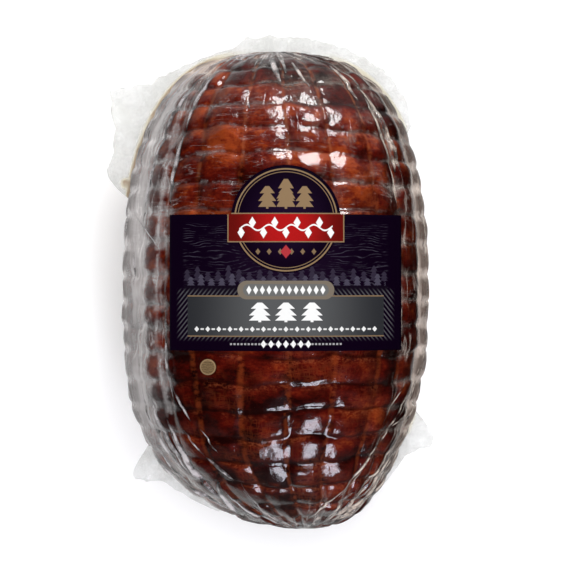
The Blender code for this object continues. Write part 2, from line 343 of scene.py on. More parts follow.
def film_depth(column, row, points):
    """How far the film lies below the crests."""
    uneven = smoothstep(-0.35, 0.35, drift(points, 16.0 * MM, 3.0))
    depth = ROLL_DEPTH * from_middle(row) ** 2.6 + DOME_DEPTH * from_middle(column) ** 2.2
    depth += RING_DIP * near_cord(row, 0.07) * (0.35 + 0.65 * uneven)
    flat = [share * plateau(column, *columns) * plateau(row, *rows) for columns, rows, share in FLAT_ZONES]
    depth *= 1.0 - sum(flat)
    depth -= CORD_RIDGE * near_cord(column, 0.055) * uneven
    depth += PAD_SWELL * pad_number(column, row, 1.0)
    tilt_across = PAD_TILT[0] * (2.0 * pad_number(column, row, 2.0) - 1.0) * COLUMN_PITCH
    tilt_along = PAD_TILT[1] * (2.0 * pad_number(column, row, 3.0) - 1.0) * ROW_PITCH
    inside = (1.0 - from_middle(column) ** 6) * (1.0 - from_middle(row) ** 6)
    depth += inside * (tilt_across * (np.mod(column, 1.0) - 0.5) + tilt_along * (np.mod(row, 1.0) - 0.5))
    for seed, (size, height) in enumerate(CRUMPLES):
        depth += height * (1.0 + drift(points, size, 4.0 + seed))
    depth += CREASE_HEIGHT * np.abs(drift(points, CREASE_SIZE, 7.0))
    return depth + CORD_RIDGE - side_swell(points)


def pleat_depth(column, row, points):
    """Sharp pleats that fan out from both ends."""
    from_end = np.minimum(row, ROWS - row)
    gathered = smoothstep(0.05, 0.9, from_end) * (1.0 - smoothstep(1.0, PLEAT_ROWS, from_end))
    wave = np.abs(np.sin(math.pi * (1.5 * column + 0.9 * drift(points, 22.0 * MM, 11.0))))
    return PLEAT_DEPTH * gathered * wave**0.6


def film_points(column, row):
    """The film's face: the net's pads, and pleats at both ends."""
    points = crest(column, row)
    wander = cord_wander(points)
    depth = film_depth(column + wander[:, 0], row + wander[:, 1], points) * net_shows(points, row)
    depth += pleat_depth(column, row, points)
    made = points - outward(column, row) * depth[:, None]
    made[:, 2] = np.maximum(made[:, 2], 0.0)
    return made


def meat_points(column, row):
    """The meat just inside the film, cut deeper at the cords."""
    points = crest(column, row)
    wander = cord_wander(points)
    marked_column = column + wander[:, 0]
    marked_row = row + wander[:, 1]
    depth = film_depth(marked_column, marked_row, points)
    deep = 0.3 + 0.7 * smoothstep(-0.3, 0.4, drift(points, 20.0 * MM, 12.0))
    depth += deep * MEAT_RING_CUT * near_cord(marked_row, 0.14)
    depth += MEAT_CORD_CUT * near_cord(marked_column, 0.09)
    depth = depth * net_shows(points, row) + FILM_GAP + pleat_depth(column, row, points)
    depth += 0.2 * MM * (1.0 + drift(points, 3.0 * MM, 8.0))
    made = points - outward(column, row) * depth[:, None]
    made[:, 2] = np.maximum(made[:, 2], FILM_GAP)
    return made


# The loose film round the ham -----------------------------

# Its outer edge seen from above, in millimetres, wherever it has an ear, each from the +X end round to -X
EAR_EDGES = (
    (
        (77, 97), (73, 116), (61, 130), (39, 143), (14, 149), (-16, 148.5), (-23, 143), (-46, 135),
        (-71, 122.5), (-94, 118), (-91, 98), (-92, 80), (-96, 75), (-94, 68), (-87, 60),
    ),
    ((-70, -79), (-79.5, -94), (-81.5, -100), (-73, -103), (-64, -102.5), (-52, -110), (-32, -120)),
    ((56, -110), (68, -96), (73, -88.5), (81, -84.5), (88, -83.5), (89.5, -77), (86, -71), (79, -62)),
)
RIM = -0.9 * MM  # the film lies tucked in where it has no ear
EAR_TUCK = 1.6 * MM
EAR_FILM = 0.15 * MM
EAR_STEPS = 720
EAR_BANDS = 16
JUICE_START = 1.2 * MM  # from the outline to where the line of juice begins to fade, and how far it fades
JUICE_WIDTH = 2.0 * MM
# Where round the ham the juice lies, in degrees from +X, each as a plateau, and how strongly
JUICE_ARCS = (
    ((92.0, 108.0, 150.0, 170.0), 1.0),
    ((48.0, 56.0, 70.0, 84.0), 0.8),
    ((-47.0, -44.0, -41.0, -37.0), 0.7),
)
SPOT_PLACE = (-84.5 * MM, 66.0 * MM)  # the brown spot where juice has gathered
SPOT_RADIUS = 3.6 * MM


def outline_radius(direction):
    """Distance of the ham's outline from the middle, seen from above, in these directions."""
    y = np.linspace(-1.0, 1.0, 1501)
    y = np.sign(y) * (1.0 - (1.0 - np.abs(y)) ** 2.5) * np.where(y >= 0, BLUNT_LENGTH, TAPER_LENGTH)
    half = HALF_WIDTH * taper_of(y)
    ring = np.vstack([np.column_stack([lean_of(y) + half, y]), np.column_stack([lean_of(y) - half, y])])
    turn = np.arctan2(ring[:, 1], ring[:, 0])
    order = np.argsort(turn)
    return np.interp(direction, turn[order], np.hypot(*ring[order].T), period=2.0 * math.pi)


def ear_reach(direction):
    """How far from the middle the loose film reaches in these directions."""
    reach = outline_radius(direction) + RIM
    for edge in EAR_EDGES:
        points = np.array(edge) * MM
        turn = np.unwrap(np.arctan2(points[:, 1], points[:, 0]))
        turned = turn[0] + np.mod(direction - turn[0], 2.0 * math.pi)
        out = np.interp(turned, turn, np.hypot(*points.T))
        reach = np.where(turned <= turn[-1], np.maximum(reach, out), reach)
    return reach


def ear_points(round_share, out_share):
    """A flat ring stretched to its edge, then ruffled and crumpled where it is wide."""
    direction = math.pi * (2.0 * round_share - 1.0)
    inner = outline_radius(direction) - EAR_TUCK
    width = ear_reach(direction) - inner
    radius = inner + width * out_share
    level = np.full_like(radius, WIDEST_Z)
    points = np.column_stack([radius * np.cos(direction), radius * np.sin(direction), level])
    loose = out_share * np.clip((width - EAR_TUCK) / (9.0 * MM), 0.0, 1.0)
    ruffle = np.sin(19.0 * direction + 3.0 * drift(points, 30.0 * MM, 20.0))
    crumpled = np.abs(drift(points, 16.0 * MM, 21.0)) + 0.25 * np.abs(drift(points, 6.0 * MM, 22.0))
    points[:, 2] += loose * (1.5 * MM * ruffle + 3.0 * MM * (crumpled - 0.3))
    ragged = 0.010 * drift(points, 5.0 * MM, 23.0) + 0.006 * drift(points, 1.8 * MM, 24.0)
    points[:, :2] *= (1.0 + loose * ragged)[:, None]
    return points


def add_ears():
    """The loose rim of the bag, and where juice has been drawn into it."""
    ears = sheet(EAR_STEPS, EAR_BANDS, ear_points)
    points = mesh_points(ears.data)
    direction = np.arctan2(points[:, 1], points[:, 0])
    degrees = np.degrees(direction)
    stained = sum(share * plateau(degrees, *arc) for arc, share in JUICE_ARCS)
    out = np.hypot(points[:, 0], points[:, 1]) - outline_radius(direction)
    line = 0.8 * stained * (1.0 - np.clip((out - JUICE_START) / JUICE_WIDTH, 0.0, 1.0))
    from_spot = np.hypot(points[:, 0] - SPOT_PLACE[0], points[:, 1] - SPOT_PLACE[1])
    spot = (0.8 + 0.2 * drift(points, 3.0 * MM, 25.0)) * np.exp(-((from_spot / SPOT_RADIUS) ** 4))
    set_tint(ears.data, "juice", np.maximum(line, spot))
    face_outwards(close_doubles=True)
    thicken(ears, EAR_FILM)
    return ears


# Folds in the film ----------------------------------------

# Where the film folds on itself: columns and rows from and to, number of folds, widest half width in mm, and
# how many columns a fold drifts aside for each row it runs
FOLD_ZONES = (
    (7.1, 8.8, 12.0, 20.0, 8, 2.2, 0.00),
    (7.2, 8.8, 6.0, 12.0, 6, 2.0, 0.00),
    (6.6, 8.6, 1.6, 5.0, 8, 2.4, 0.10),
    (0.0, 1.8, 14.0, 20.0, 9, 1.5, 0.05),
    (-0.2, 0.9, 7.0, 14.0, 10, 0.8, 0.00),
    (0.2, 1.6, 2.2, 6.5, 24, 0.8, -0.26),
    (0.4, 2.4, 1.2, 3.4, 16, 1.2, -0.40),
    (1.6, 3.6, 0.8, 1.6, 8, 1.8, -0.50),
    (1.4, 7.2, 20.0, 21.4, 26, 0.9, 0.00),
    (4.0, 6.6, 0.7, 1.4, 5, 1.2, 0.00),
)
# The largest folds: column, row, rows long, columns aside, sway in columns, half width in mm
LARGE_FOLDS = (
    (4.42, 20.9, -1.8, -0.32, 0.05, 1.9),
    (4.10, 21.1, -1.5, -0.20, -0.05, 1.0),
    (3.54, 20.5, -1.7, -0.28, 0.05, 1.2),
    (5.02, 18.7, -0.9, -0.10, 0.05, 0.9),
    (1.86, 20.4, -2.0, 0.02, 0.05, 1.4),
    (1.46, 18.8, -3.0, -0.24, -0.05, 1.3),
    (6.82, 19.9, -3.4, 0.30, 0.06, 1.9),
    (7.10, 17.2, -3.8, 0.26, 0.04, 1.6),
    (6.36, 19.6, -2.6, 0.12, 0.06, 1.5),
    (6.50, 16.9, -2.6, 0.10, 0.04, 2.0),
    (7.78, 14.1, -1.4, -1.00, -0.05, 0.55),
    (6.62, 9.9, -2.6, -0.02, 0.06, 1.3),
    (6.60, 7.8, -1.2, -0.36, 0.00, 1.1),
    (0.90, 8.6, 5.8, -0.12, 0.04, 1.0),
    (1.40, 9.0, 5.2, 0.00, 0.04, 0.55),
    (0.60, 7.0, -1.2, 0.84, 0.00, 0.9),
    (0.44, 7.2, -3.8, 0.96, 0.00, 1.2),
    (0.66, 5.1, -1.9, 0.62, 0.05, 1.4),
    (2.16, 3.8, -2.0, 1.46, 0.00, 0.9),
    (8.44, 5.4, -1.6, -0.70, 0.00, 2.8),
    (6.94, 6.0, -3.0, -0.08, -0.12, 2.6),
    (6.10, 5.1, -0.9, -0.46, 0.00, 2.0),
    (6.20, 4.0, -2.0, 1.06, 0.00, 2.6),
    (6.50, 6.2, -1.0, -0.36, 0.00, 0.9),
    (6.05, 6.3, -0.9, -0.32, 0.00, 0.7),
)
FOLD_RISE = 0.35 * MM
FOLD_TUCK = 0.12 * MM
FOLD_FILM = 0.1 * MM
FOLD_STEPS = 6  # across a fold
FOLD_SEED = 41


def add_fold(column, row, rows_long, columns_aside, sway, half_width):
    """A low ridge of doubled film that runs lengthwise over the skin and fades out all round."""

    def fold_points(long_share, across_share):
        along_row = row + rows_long * long_share
        middle = column + columns_aside * long_share + sway * np.sin(math.pi * long_share)
        pitch = COLUMN_PITCH * np.maximum(taper_of(ring_place(along_row)), 0.08)
        across = 2.0 * across_share - 1.0
        reach = half_width * np.sin(math.pi * (0.04 + 0.92 * long_share)) ** 0.7
        place = middle + across * reach / pitch
        rise = FOLD_RISE * (1.0 - across**2) * reach / half_width - FOLD_TUCK
        return film_points(place, along_row) + outward(place, along_row) * rise[:, None]

    steps = int(8 + 7 * abs(rows_long))
    fold = sheet(steps, FOLD_STEPS, fold_points)
    across, lengthwise = np.meshgrid(np.linspace(-1.0, 1.0, FOLD_STEPS + 1), np.linspace(0.0, 1.0, steps + 1))
    body = (1.0 - across**2) * np.sin(math.pi * lengthwise) ** 0.6
    set_tint(fold.data, "body", body.T.ravel())
    return fold


def add_folds():
    """All folds as one piece: the largest at their places, and many smaller ones scattered in their zones."""
    chance = np.random.default_rng(FOLD_SEED)
    folds = [add_fold(*fold[:-1], fold[-1] * MM) for fold in LARGE_FOLDS]
    for column_from, column_to, row_from, row_to, count, widest, drift_aside in FOLD_ZONES:
        for _ in range(count):
            column = chance.uniform(column_from, column_to)
            row = chance.uniform(row_from, row_to)
            rows_long = min(chance.uniform(1.0, 3.4), ROWS - 0.35 - row)
            aside = drift_aside * rows_long + chance.uniform(-0.15, 0.15)
            sway = chance.uniform(-0.10, 0.10)
            half_width = widest * MM * chance.uniform(0.3, 1.0)
            folds.append(add_fold(column, row, rows_long, aside, sway, half_width))
    start()
    for fold in folds:
        fold.select_set(True)
    bpy.context.view_layer.objects.active = folds[0]
    bpy.ops.object.join()
    face_outwards()
    thicken(folds[0], FOLD_FILM)
    return folds[0]


# The label and the sticker --------------------------------

LABEL_MIDDLE = (5.8 * MM, 9.9 * MM)
LABEL_HALF = (63.0, 36.7)  # millimetres, as all of the print is
CREST_MIDDLE = 33.7
CREST_RADIUS = 29.5
CREST_SHARE = 0.6  # of the sheet's columns that lie below the crest
PAPER_LIFT = 0.45 * MM  # the paper's face above the smooth skin
PAPER_THICKNESS = 0.3 * MM
STICKER_MIDDLE = (-36.2 * MM, -35.6 * MM)
STICKER_RADIUS = 4.5 * MM


def on_skin(x, y):
    return np.column_stack([x, y, skin_height(x, y) + PAPER_LIFT])


def label_points(across_share, up_share):
    """A sheet whose upper edge runs level, over the round crest, and level again."""
    step = math.sqrt(CREST_RADIUS**2 - (LABEL_HALF[1] - CREST_MIDDLE) ** 2)
    across = 2.0 * across_share - 1.0
    inside = np.clip(across / CREST_SHARE, -1.0, 1.0)
    outside = np.clip((np.abs(across) - CREST_SHARE) / (1.0 - CREST_SHARE), 0.0, 1.0)
    x = step * np.sin(math.pi / 2.0 * inside) + np.sign(across) * outside * (LABEL_HALF[0] - step)
    crest_top = CREST_MIDDLE + np.sqrt(np.maximum(CREST_RADIUS**2 - x**2, 0.0))
    top = np.where(outside > 0, LABEL_HALF[1], np.maximum(crest_top, LABEL_HALF[1]))
    y = -LABEL_HALF[1] + (top + LABEL_HALF[1]) * up_share
    return on_skin(LABEL_MIDDLE[0] + x * MM, LABEL_MIDDLE[1] + y * MM)


def add_label():
    label = sheet(150, 72, label_points)
    face_outwards()
    thicken(label, PAPER_THICKNESS)
    return label


def add_sticker():
    start()
    bpy.ops.mesh.primitive_circle_add(vertices=56, radius=STICKER_RADIUS, fill_type="TRIFAN")
    sticker = bpy.context.object
    bpy.ops.object.mode_set(mode="EDIT")
    bpy.ops.mesh.select_all(action="SELECT")
    bpy.ops.mesh.subdivide(number_cuts=5)
    bpy.ops.object.mode_set(mode="OBJECT")
    x, y, _ = mesh_points(sticker.data).T
    edge = np.hypot(x, y) / STICKER_RADIUS
    points = on_skin(STICKER_MIDDLE[0] + x, STICKER_MIDDLE[1] + y)
    points[:, 2] -= 0.15 * MM * edge**6
    sticker.data.vertices.foreach_set("co", points.ravel())
    sticker.data.update()
    face_outwards()
    thicken(sticker, PAPER_THICKNESS)
    return sticker


# Finishes -------------------------------------------------

SHARP_GLOSS = 0.07  # roughness of the film's two kinds of gloss
SOFT_GLOSS = 0.26
LEFT_LENS = 8.75  # the middle of the outermost pads, in columns
RIGHT_LENS = -0.38
MEAT_SHADES = (
    (0.42, (34, 3, 2)),
    (0.48, (64, 8, 3)),
    (0.55, (92, 16, 8)),
    (0.61, (120, 32, 14)),
    (0.69, (172, 76, 32)),
)
STAIN_SHADES = ((0.0, (244, 240, 226)), (0.60, (232, 222, 192)), (0.85, (160, 124, 84)))


def node(tree, kind, sockets=None, **settings):
    """Adds a node, with its sockets' values or links by name."""
    made = tree.nodes.new(kind)
    for name, value in settings.items():
        setattr(made, name, value)
    for name, value in (sockets or {}).items():
        if isinstance(value, bpy.types.NodeSocket):
            tree.links.new(value, made.inputs[name])
        else:
            made.inputs[name].default_value = value
    return made


def linked(kind, sockets, **settings):
    """Adds a node to the tree of the sockets that it reads."""
    tree = next(value.id_data for value in sockets.values() if isinstance(value, bpy.types.NodeSocket))
    return node(tree, kind, sockets, **settings)


def calc(operation, *values):
    """The result of a Math node."""
    return linked("ShaderNodeMath", dict(enumerate(values)), operation=operation).outputs[0]


def product(*values):
    made = values[0]
    for value in values[1:]:
        made = calc("MULTIPLY", made, value)
    return made


def total(base, *parts):
    """The base with a share of each value added, from (value, share) parts."""
    for value, share in parts:
        base = calc("MULTIPLY_ADD", value, share, base)
    return base


def away_from(value, middle):
    return calc("ABSOLUTE", calc("SUBTRACT", value, middle))


def band(value, low, high):
    """0 at low and before it, 1 at high and after it; high may be the lower number."""
    sockets = {"Value": value, "From Min": low, "From Max": high, "To Min": 0.0, "To Max": 1.0}
    return linked("ShaderNodeMapRange", sockets, interpolation_type="SMOOTHSTEP").outputs[0]


def zone(value, start, full, fade, end):
    """0 before start, 1 from full to fade, and 0 past end."""
    return product(band(value, start, full), band(value, end, fade))


def speckle(place, scale, detail=5.0, roughness=0.6):
    sockets = {"Vector": place, "Scale": scale, "Detail": detail, "Roughness": roughness}
    return linked("ShaderNodeTexNoise", sockets).outputs["Fac"]


def object_place(tree):
    return node(tree, "ShaderNodeTexCoord").outputs["Object"]


def tint_of(tree, name):
    """The numbers that set_tint stored on the mesh."""
    return node(tree, "ShaderNodeAttribute", attribute_name=name).outputs["Fac"]


def net_places(tree):
    """The net's columns and rows, counted by the UV map, as two sockets."""
    net = linked("ShaderNodeSeparateXYZ", {0: node(tree, "ShaderNodeTexCoord").outputs["UV"]})
    return net.outputs["X"], net.outputs["Y"]


def to_cord(across):
    """Distance from the nearest lengthwise cord, in columns."""
    return calc("MINIMUM", across, calc("SUBTRACT", 1.0, across))


def creases(column, row, across_scale, along_scale, width):
    """Thin lines where noise, drawn out over the net's places, passes its middle value."""
    places = {0: product(column, across_scale), 1: product(row, along_scale)}
    stretched = linked("ShaderNodeCombineXYZ", places).outputs[0]
    return band(away_from(speckle(stretched, 1.0, 3.0, 0.55), 0.5), width, 0.0)


def colour(red, green, blue):
    """A colour from its printed values, 0 to 255."""
    shares = [value / 255.0 for value in (red, green, blue)]
    linear = [v / 12.92 if v <= 0.04045 else ((v + 0.055) / 1.055) ** 2.4 for v in shares]
    return (*linear, 1.0)


def mix_colours(factor, under, over):
    """A mix of two colours, each a socket or a printed colour's three values."""
    under, over = (colour(*shade) if isinstance(shade, tuple) else shade for shade in (under, over))
    return linked("ShaderNodeMix", {0: factor, 6: under, 7: over}, data_type="RGBA").outputs[2]


def shades(value, stops):
    """A colour ramp over (position, printed colour) stops."""
    ramp = linked("ShaderNodeValToRGB", {"Fac": value})
    while len(ramp.color_ramp.elements) < len(stops):
        ramp.color_ramp.elements.new(0.5)
    for element, (position, shade) in zip(ramp.color_ramp.elements, stops):
        element.position = position
        element.color = colour(*shade)
    return ramp.outputs["Color"]


def new_finish(name):
    material = bpy.data.materials.new(name)
    material.use_nodes = True
    tree = material.node_tree
    tree.nodes.clear()
    return material, tree


def bumps(height, strength, distance):
    sockets = {"Height": height, "Strength": strength, "Distance": distance}
    return linked("ShaderNodeBump", sockets).outputs[0]


def diffuse(tree, shade, **sockets):
    return node(tree, "ShaderNodeBsdfDiffuse", {"Color": shade, **sockets}).outputs[0]


def mix_shaders(factor, under, over):
    return linked("ShaderNodeMixShader", {0: factor, 1: under, 2: over}).outputs[0]


def plain_surface(shade, roughness, mirror, **sockets):
    """A Principled surface; mirror is how much of a plain gloss it keeps."""
    look = {"Base Color": shade, "Roughness": roughness, "Specular IOR Level": mirror, **sockets}
    return linked("ShaderNodeBsdfPrincipled", look).outputs[0]


def film_surface(normal, bend, haze, tint=(1.0, 1.0, 1.0)):
    """A clear, glossy film; bend is its index of refraction and haze the share of its soft gloss."""
    tree = normal.id_data
    clear = node(tree, "ShaderNodeBsdfTransparent", {"Color": (*tint, 1.0)}).outputs[0]
    look = {"Color": (1.0, 1.0, 1.0, 1.0), "Normal": normal}
    sharp, soft = (
        linked("ShaderNodeBsdfGlossy", {"Roughness": roughness, **look}).outputs[0]
        for roughness in (SHARP_GLOSS, SOFT_GLOSS)
    )
    gloss = mix_shaders(haze, sharp, soft)
    mirror = node(tree, "ShaderNodeFresnel", {"IOR": bend}).outputs[0]
    return mix_shaders(mirror, clear, gloss)


def show(shader):
    linked("ShaderNodeOutputMaterial", {"Surface": shader})


def tone_of_place(place):
    """The meat is lighter towards the blunt end and low at both sides, and darker in its upper middle."""
    spot = linked("ShaderNodeSeparateXYZ", {0: place})
    x, y = spot.outputs["X"], spot.outputs["Y"]
    upper = total(0.02, (band(x, -0.035, -0.005), 0.12))
    upper = product(upper, band(y, 0.078, 0.132))
    low_left = product(band(x, -0.02, -0.045), band(y, -0.06, -0.09))
    lower = total(-0.03, (band(x, 0.015, 0.04), 0.10), (low_left, 0.09))
    return total(0.0, (y, 0.68), (x, -0.20), (upper, -1.0), (band(y, -0.02, -0.06), lower))


def tone_of_pad(column, row):
    """A tone of its own for each pad between the cords."""
    pad = linked("ShaderNodeCombineXYZ", {0: calc("FLOOR", column), 1: calc("FLOOR", row)}).outputs[0]
    return linked("ShaderNodeTexWhiteNoise", {"Vector": pad}, noise_dimensions="2D").outputs[0]


def smoked_meat():
    """Blotchy brown-red meat with a dark line of painted shade at each ring cord, a paler line at each
    lengthwise cord, and a painted highlight along each row's edge.
    """
    material, tree = new_finish("smoked_meat")
    place = object_place(tree)
    column, row = net_places(tree)
    across = calc("FRACT", column)
    along_it = calc("FRACT", row)
    cord = to_cord(across)
    drawn_out = linked("ShaderNodeMapping", {"Vector": place, "Scale": (0.6, 1.0, 1.0)}).outputs[0]
    patches = speckle(place, 42.0, 3.0)
    blotches = speckle(drawn_out, 95.0, 3.0, 0.55)
    mottle = speckle(drawn_out, 200.0, 6.0, 0.70)
    grain = speckle(drawn_out, 800.0, 3.0, 0.7)

    tone = total(tone_of_place(place), (patches, 0.30), (blotches, 0.34), (mottle, 0.28))
    tone = total(tone, (grain, 0.10), (tone_of_pad(column, row), 0.07))
    # Painted shade and light: the meat is darker towards each pad's edges at the cords, and lighter on each
    # row's half towards the blunt end
    edge = calc("MAXIMUM", away_from(along_it, 0.5), away_from(across, 0.5))
    tone = total(tone, (band(edge, 0.28, 0.5), -0.04), (band(along_it, 0.25, 0.80), 0.035))
    meat = shades(tone, MEAT_SHADES)

    # The net's marks, lighter threads of meat, a painted highlight along each row's blunt-end edge and painted
    # shade in each ring cord's groove, each laid over those before it
    threads = (creases(column, row, *stretch, 0.06) for stretch in ((9.0, 1.2), (1.4, 7.0)))
    threads = calc("MAXIMUM", *threads)
    blunt = band(row, 13.0, 16.0)
    thin_cord = product(band(cord, 0.06, 0.01), blunt)
    # Painted highlight: a paler orange rim along each row's edge towards the blunt end
    lit_edge = product(zone(along_it, 0.72, 0.90, 0.92, 1.0), band(grain, 0.46, 0.60))
    # Painted shade: a dark line in the groove at each ring cord
    ring = calc("MAXIMUM", band(along_it, 0.16, 0.02), band(along_it, 0.95, 0.99))
    marks = (
        (threads, band(patches, 0.42, 0.62), 0.30, (158, 74, 38)),
        (band(cord, 0.10, 0.02), band(mottle, 0.40, 0.58), 0.55, (158, 70, 32)),
        (thin_cord, band(blotches, 0.44, 0.60), 0.35, (190, 116, 74)),
        (lit_edge, band(patches, 0.40, 0.58), 0.45, (180, 96, 58)),
        (ring, band(mottle, 0.38, 0.56), total(0.5, (blunt, -0.2)), (38, 8, 4)),
    )
    for mark, broken, strength, shade in marks:
        meat = mix_colours(product(mark, broken, strength), meat, shade)
    show(plain_surface(meat, 0.6, 0.03, Normal=bumps(mottle, 0.5, 0.6 * MM)))
    return material


class FilmPlaces:
    """What the parts of the clear film's finish share: places on the net, and where the film is uneven."""

    def __init__(self, tree):
        self.place = object_place(tree)
        self.column, self.row = net_places(tree)
        self.across = calc("FRACT", self.column)
        self.along_it = calc("SUBTRACT", calc("FRACT", self.row), 0.5)
        self.at_ring = product(calc("ABSOLUTE", self.along_it), 2.0)
        self.left = band(self.column, 4.0, 5.0)
        self.loose = tint_of(tree, "slack")
        self.patchy = speckle(self.place, 70.0, 3.0, 0.6)
        self.uneven = calc("ADD", self.patchy, speckle(self.place, 240.0, 2.0, 0.6))
        self.rough = calc("SUBTRACT", self.uneven, 1.0)
        self.streaks = creases(self.column, self.row, 2.6, 0.16, 0.16)
        self.wrinkles = creases(self.column, self.row, 4.0, 0.6, 0.05)
        self.cloud = band(speckle(self.place, 38.0, 4.0, 0.6), 0.36, 0.62)


def film_lines(film):
    """Lengthwise creases, and the thin lines that stand up between a lengthwise cord's threads."""
    creased = creases(film.column, film.row, 1.3, 0.22, 0.022)
    creased = product(creased, band(film.patchy, 0.36, 0.56))
    cord_line = band(to_cord(film.across), 0.035, 0.012)
    return calc("MAXIMUM", creased, product(cord_line, band(film.patchy, 0.54, 0.66)))


def film_normal(film, lines):
    """Fine facets and creases, stronger on top near the blunt end, where the film is crinkled."""
    facets = away_from(speckle(film.place, 120.0, 2.0, 0.5), 0.5)
    relief = total(speckle(film.place, 220.0, 3.0, 0.55), (lines, 0.3), (facets, 2.4))
    crinkled = product(band(film.row, 14.5, 17.0), zone(film.column, 1.6, 2.6, 5.0, 6.0))
    return bumps(relief, total(0.22, (crinkled, 0.20)), 0.6 * MM)


def pad_milk_and_sheen(film):
    """Milk where the slack film bridges the cords, partly the film's own haze and partly a painted reflection
    of the pale surroundings, but for a window in each pad, narrower on the -X side.
    """
    aside = calc("SUBTRACT", film.across, 0.5)
    aside = calc("DIVIDE", aside, total(0.66, (film.left, -0.45)))
    lengthwise = calc("DIVIDE", film.along_it, total(0.54, (film.left, -0.10)))
    far = total(0.0, (aside, aside), (lengthwise, lengthwise))
    far = total(far, (film.rough, total(1.2, (film.left, 1.0))))
    depth = total(0.02, (film.streaks, 0.20), (film.cloud, 0.20), (film.wrinkles, 0.16))
    milk_and_sheen = product(calc("POWER", band(far, 0.5, 2.2), 0.7), depth)
    milk_and_sheen = total(milk_and_sheen, (film.left, 0.04))
    thinner_low = total(0.35, (band(film.row, 3.5, 9.0), 0.65))

    # Its edge reaches furthest in along the rings
    reach = total(film.loose, (product(film.at_ring, film.at_ring), 0.7), (film.rough, 0.8))
    return product(milk_and_sheen, thinner_low, film.loose, band(reach, 0.55, 0.95))


def outer_milk_and_sheen(film):
    """The thick milk over the outermost pads of both sides, partly the slack film's haze and partly a painted
    grazing reflection, where it lies, and the pads' soft lens shapes, where that milk is painted dark as
    painted shade.
    """
    outer_left = product(zone(film.column, 7.6, 8.1, 9.7, 10.2), band(film.row, 4.5, 8.0))
    # The count of columns begins and ends on the +X side
    outer_right = calc("MAXIMUM", band(film.column, 0.15, -0.05), band(film.column, 16.6, 17.0))
    outer_right = product(outer_right, band(film.row, 2.5, 6.5))
    to_left = away_from(film.column, LEFT_LENS)
    to_right = (away_from(film.column, middle) for middle in (RIGHT_LENS, COLUMNS + RIGHT_LENS))
    to_right = calc("MINIMUM", *to_right)
    lens_aside = calc("MAXIMUM", band(to_left, 0.85, 0.10), band(to_right, 0.54, 0.32))
    lens = total(calc("ABSOLUTE", film.along_it), (film.rough, 0.4))
    lens = product(band(lens, 0.48, 0.20), lens_aside)
    thick = total(0.22, (film.left, -0.01), (film.cloud, 0.18), (film.streaks, 0.28), (lens, 0.22))
    return product(thick, film.loose), calc("MAXIMUM", outer_left, outer_right), lens


def fine_milk(film, lines):
    """Thin pale marks on the film, each as a (where, how milky) part; the lines along the rings near the blunt
    end are painted highlights.
    """
    string = band(away_from(film.column, 0.10), 0.15, 0.04)
    string = product(string, zone(film.row, 4.0, 7.0, 17.0, 20.0), film.loose)
    scratches = creases(film.column, film.row, 0.6, 3.2, 0.012)
    scratches = product(scratches, band(film.patchy, 0.44, 0.60), band(film.row, 8.0, 13.0))
    dull = product(band(film.row, 13.5, 16.5), band(film.column, 4.2, 2.8))
    dull = product(dull, band(film.patchy, 0.50, 0.68), total(0.4, (film.wrinkles, 0.6)))
    # Painted highlight: pale lines along the ring cords near the blunt end, where creases catch the light
    painted_ring_highlight = product(band(film.at_ring, 0.72, 1.0), band(film.uneven, 0.94, 1.20))
    painted_ring_highlight = product(painted_ring_highlight, band(film.row, 13.0, 15.0))
    creased = product(lines, film.loose)
    return (string, 0.32), (creased, 0.26), (scratches, 0.18), (dull, 0.17), (painted_ring_highlight, 0.10)


def clear_film():
    """Tight clear film, milky where it is slack, with a painted reflection as pale milk over both sides, and
    with fine creases.
    """
    material, tree = new_finish("clear_film")
    film = FilmPlaces(tree)
    lines = film_lines(film)
    milk_and_sheen = pad_milk_and_sheen(film)
    thick, outer, lens = outer_milk_and_sheen(film)
    # Painted reflection: the pale milk over the outermost pads stands in for the film's grazing sheen
    milk_and_sheen = total(milk_and_sheen, (calc("SUBTRACT", thick, milk_and_sheen), outer))
    milky = total(milk_and_sheen, *fine_milk(film, lines))

    # Its milk, partly painted reflection, is warmer on the +X side and at both ends, and painted dark in the
    # lens shapes as painted shade
    shade = mix_colours(film.left, (200, 186, 176), (200, 196, 195))
    shade = mix_colours(product(band(film.row, 18.5, 20.5), 0.8), shade, (220, 198, 182))
    shade = mix_colours(product(band(film.row, 5.5, 3.5), 0.8), shade, (226, 219, 212))
    # Painted shade: the milk is dark in the middle of the outermost pads
    dark = mix_colours(film.left, (72, 56, 48), (80, 74, 72))
    shade = mix_colours(product(lens, 0.85), shade, dark)
    surface = film_surface(film_normal(film, lines), 1.7, 0.24)
    show(mix_shaders(milky, surface, diffuse(tree, shade)))
    return material


def loose_film():
    """Two layers of clear film, a little hazy, with juice drawn into them beside the meat."""
    material, tree = new_finish("loose_film")
    crumpled = speckle(object_place(tree), 90.0, 3.0, 0.5)
    normal = bumps(crumpled, 0.3, 1.0 * MM)
    film = film_surface(normal, 1.25, 0.8, (0.912, 0.916, 0.912))
    hazy = product(band(crumpled, 0.30, 0.70), 0.26)
    film = mix_shaders(hazy, film, diffuse(tree, colour(206, 206, 202), Normal=normal))
    juice = tint_of(tree, "juice")
    wet = product(calc("POWER", juice, 1.4), 0.8)
    show(mix_shaders(wet, film, diffuse(tree, shades(juice, STAIN_SHADES))))
    return material


